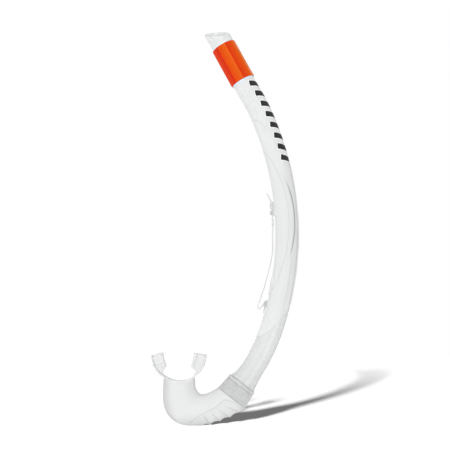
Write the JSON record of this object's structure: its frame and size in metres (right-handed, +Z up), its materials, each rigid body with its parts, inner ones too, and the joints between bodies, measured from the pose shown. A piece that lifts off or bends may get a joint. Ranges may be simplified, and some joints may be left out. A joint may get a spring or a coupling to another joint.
{
  "type": "snorkel",
  "caption": "J-shaped snorkel: bent breathing tube with hi-vis sleeve, strap clip, swivelling soft elbow and bite mouthpiece.",
  "frame": {"origin": "middle of the underside of the whole object's box", "axes": "+Z up along the snorkel's height; the bend lies in the XZ plane, mouthpiece at -X, the tube bows out to +X; +Y across"},
  "size_m": [0.1562, 0.035, 0.4261],
  "materials": {
    "milky_tube": "smooth milky translucent tube, soft gloss",
    "milky_carrier": "milky translucent moulding, satin",
    "hi_vis_orange": "hi-vis orange sleeve with long soft facets",
    "reflective_band": "pale blue-white band",
    "grey_plastic": "pale grey satin plastic with fine rings",
    "seal_rubber": "matt black rubber",
    "soft_silicone": "soft milky silicone, satin",
    "print_ink": "black printed marks with white edge"
  },
  "bodies": {
    "barrel": {"barrel_tube": "milky_tube", "hi_vis_sleeve": "hi_vis_orange", "reflective_tape": "reflective_band", "carrier_sheath": "milky_carrier", "snap_stud": "grey_plastic", "clip_foot": "milky_carrier", "connector_spigot": "grey_plastic", "seal_ring": "seal_rubber"},
    "clip": {"clip_blade": "milky_carrier"},
    "swivel": {"connector_collar": "grey_plastic", "elbow_cuff": "soft_silicone"},
    "mouth": {"elbow_bend": "soft_silicone", "mouthpiece": "soft_silicone"}
  },
  "joints": [
    {"name": "clip_open", "type": "hinge", "parent": "barrel", "child": "clip", "pos_m": [0.03545, 0, 0.12038], "axis": [0, -1, 0], "range_deg": [0, 28]},
    {"name": "elbow_swivel", "type": "hinge", "parent": "barrel", "child": "swivel", "pos_m": [0.00595, 0, 0.02808], "axis": [0.6074, 0, 0.7944], "range_deg": [-90, 90]},
    {"name": "elbow_flex", "type": "hinge", "parent": "swivel", "child": "mouth", "pos_m": [-0.00675, 0, 0.02158], "axis": [0, 1, 0], "range_deg": [-12, 12]}
  ]
}
